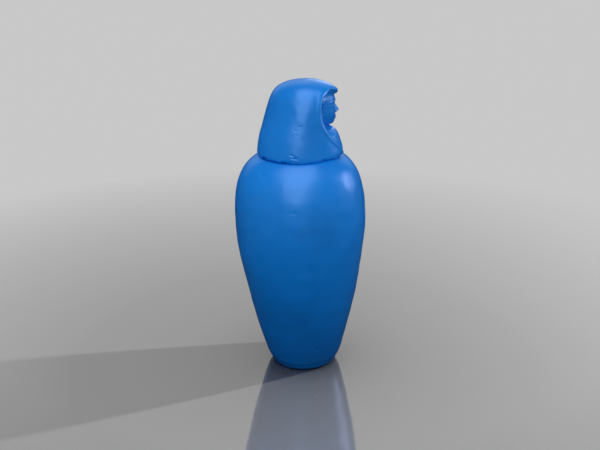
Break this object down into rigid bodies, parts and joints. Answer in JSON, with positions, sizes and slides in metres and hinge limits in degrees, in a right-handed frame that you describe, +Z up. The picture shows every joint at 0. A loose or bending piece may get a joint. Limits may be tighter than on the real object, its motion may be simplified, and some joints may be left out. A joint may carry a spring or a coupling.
{
  "type": "canopic jar",
  "caption": "Tall shouldered funerary jar, hollow, with a lift-off lid moulded as a human head in a smooth heavy wig.",
  "frame": {"origin": "middle of the flat foot that the jar stands on", "axes": "+Z up out of the mouth, -Y the way the head on the lid faces, +X to the right of someone who looks it in the face"},
  "size_m": [0.1508, 0.1507, 0.341],
  "materials": {
    "blue_glaze": "satin"
  },
  "bodies": {
    "root": {"jar": "blue_glaze", "head_lid": "blue_glaze"}
  },
  "joints": []
}
